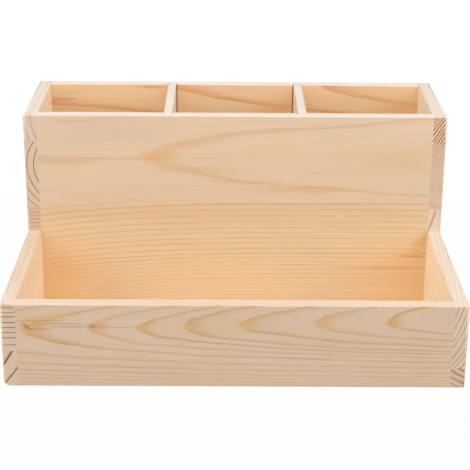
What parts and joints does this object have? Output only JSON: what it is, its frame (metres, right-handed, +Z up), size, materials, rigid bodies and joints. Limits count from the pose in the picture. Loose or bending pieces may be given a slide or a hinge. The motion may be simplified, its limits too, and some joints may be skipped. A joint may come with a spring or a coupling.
{
  "type": "desk organizer",
  "caption": "Open pine desk organizer: a low front tray and tall pen compartments behind it, parted by lift-out dividers in grooves.",
  "frame": {"origin": "on the floor plane, below the centre of the plan", "axes": "+X to the right along the width, +Y from the tray towards the pen compartments, +Z up"},
  "size_m": [0.3, 0.23, 0.144],
  "materials": {
    "side_pine": "sanded, unfinished pine",
    "front_pine": "sanded, unfinished pine",
    "middle_pine": "sanded, unfinished pine",
    "back_pine": "sanded, unfinished pine",
    "bottom_plywood": "sanded, unfinished plywood",
    "divider_pine": "sanded, unfinished pine",
    "brad_steel": "plain steel"
  },
  "bodies": {
    "carcass": {"left_side_foot": "side_pine", "left_side_step": "side_pine", "left_side_upper": "side_pine", "left_side_crown": "side_pine", "right_side_foot": "side_pine", "right_side_step": "side_pine", "right_side_upper": "side_pine", "right_side_crown": "side_pine", "front_board": "front_pine", "middle_wall_lower": "middle_pine", "middle_wall_upper": "middle_pine", "back_wall_lower": "back_pine", "back_wall_upper": "back_pine", "bottom_panel": "bottom_plywood", "left_front_brads": "brad_steel", "left_middle_brads": "brad_steel", "left_back_brads": "brad_steel", "right_front_brads": "brad_steel", "right_middle_brads": "brad_steel", "right_back_brads": "brad_steel", "bottom_brads": "brad_steel"},
    "left_divider": {"left_divider": "divider_pine"},
    "right_divider": {"right_divider": "divider_pine"}
  },
  "joints": [
    {"name": "left_divider_lift", "type": "slide", "parent": "carcass", "child": "left_divider", "axis": [0, 0, 1], "range_m": [0, 0.15]},
    {"name": "right_divider_lift", "type": "slide", "parent": "carcass", "child": "right_divider", "axis": [0, 0, 1], "range_m": [0, 0.15]}
  ]
}
